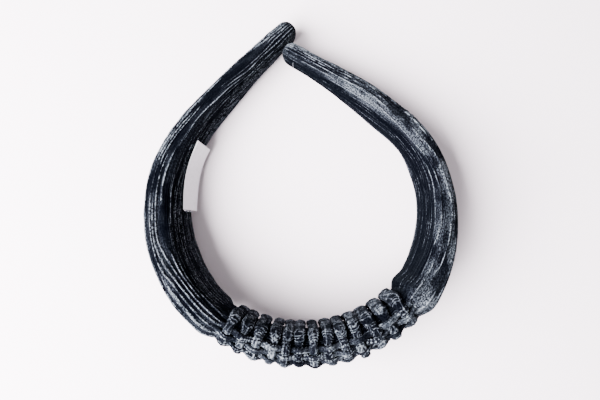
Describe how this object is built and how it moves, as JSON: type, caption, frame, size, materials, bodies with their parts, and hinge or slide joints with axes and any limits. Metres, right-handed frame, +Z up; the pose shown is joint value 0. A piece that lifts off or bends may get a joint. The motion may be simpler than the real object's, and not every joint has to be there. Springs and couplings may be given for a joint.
{
  "type": "knotted headband",
  "caption": "Padded velvet headband over a thin plastic strip, with a woven knot of crosswise loops and lengthwise straps at the crown and two arms that flex open.",
  "frame": {"origin": "middle of the bounding box in X and Y, on the surface that the headband lies on", "axes": "+Z up from that surface, +Y from the crown's knot towards the tips, +X towards the arm without the label"},
  "size_m": [0.15, 0.172, 0.0457],
  "materials": {
    "sleeve_velvet": "crushed slate-blue velvet, gathered in fine lengthwise pleats",
    "knot_velvet": "the same velvet in ruched loops and straps, brighter on the ridges",
    "wrap_velvet": "the same velvet in shade under the weave",
    "core_plastic": "natural moulded plastic strip",
    "foam": "open-cell padding foam",
    "label_satin": "white woven satin ribbon",
    "label_thread": "fine white sewing thread",
    "dark_thread": "dark slate sewing thread"
  },
  "bodies": {
    "crown": {"core_crown": "core_plastic", "foam_crown": "foam", "crown_wrap": "wrap_velvet", "strap_1": "knot_velvet", "strap_2": "knot_velvet", "strap_3": "knot_velvet", "strap_4": "knot_velvet", "strap_5": "knot_velvet", "strap_6": "knot_velvet", "strap_7": "knot_velvet", "strap_8": "knot_velvet", "strap_9": "knot_velvet", "loop_01": "knot_velvet", "loop_02": "knot_velvet", "loop_03": "knot_velvet", "loop_04": "knot_velvet", "loop_05": "knot_velvet", "loop_06": "knot_velvet", "loop_07": "knot_velvet", "loop_08": "knot_velvet", "loop_09": "knot_velvet", "loop_10": "knot_velvet", "loop_11": "knot_velvet", "loop_12": "knot_velvet", "loop_13": "knot_velvet"},
    "left_arm": {"core_left": "core_plastic", "foam_left": "foam", "sleeve_left": "sleeve_velvet", "label": "label_satin", "label_stitches": "label_thread", "tip_stitches_left": "dark_thread"},
    "right_arm": {"core_right": "core_plastic", "foam_right": "foam", "sleeve_right": "sleeve_velvet", "tip_stitches_right": "dark_thread"}
  },
  "joints": [
    {"name": "left_arm_flex", "type": "hinge", "parent": "crown", "child": "left_arm", "pos_m": [-0.03882, -0.05449, 0.02269], "axis": [0, 0.0987, 0.9951], "range_deg": [0, 20], "stiffness_Nm_per_rad": 1},
    {"name": "right_arm_flex", "type": "hinge", "parent": "crown", "child": "right_arm", "pos_m": [0.04395, -0.05449, 0.02269], "axis": [0, -0.0987, -0.9951], "range_deg": [0, 20], "stiffness_Nm_per_rad": 1}
  ]
}
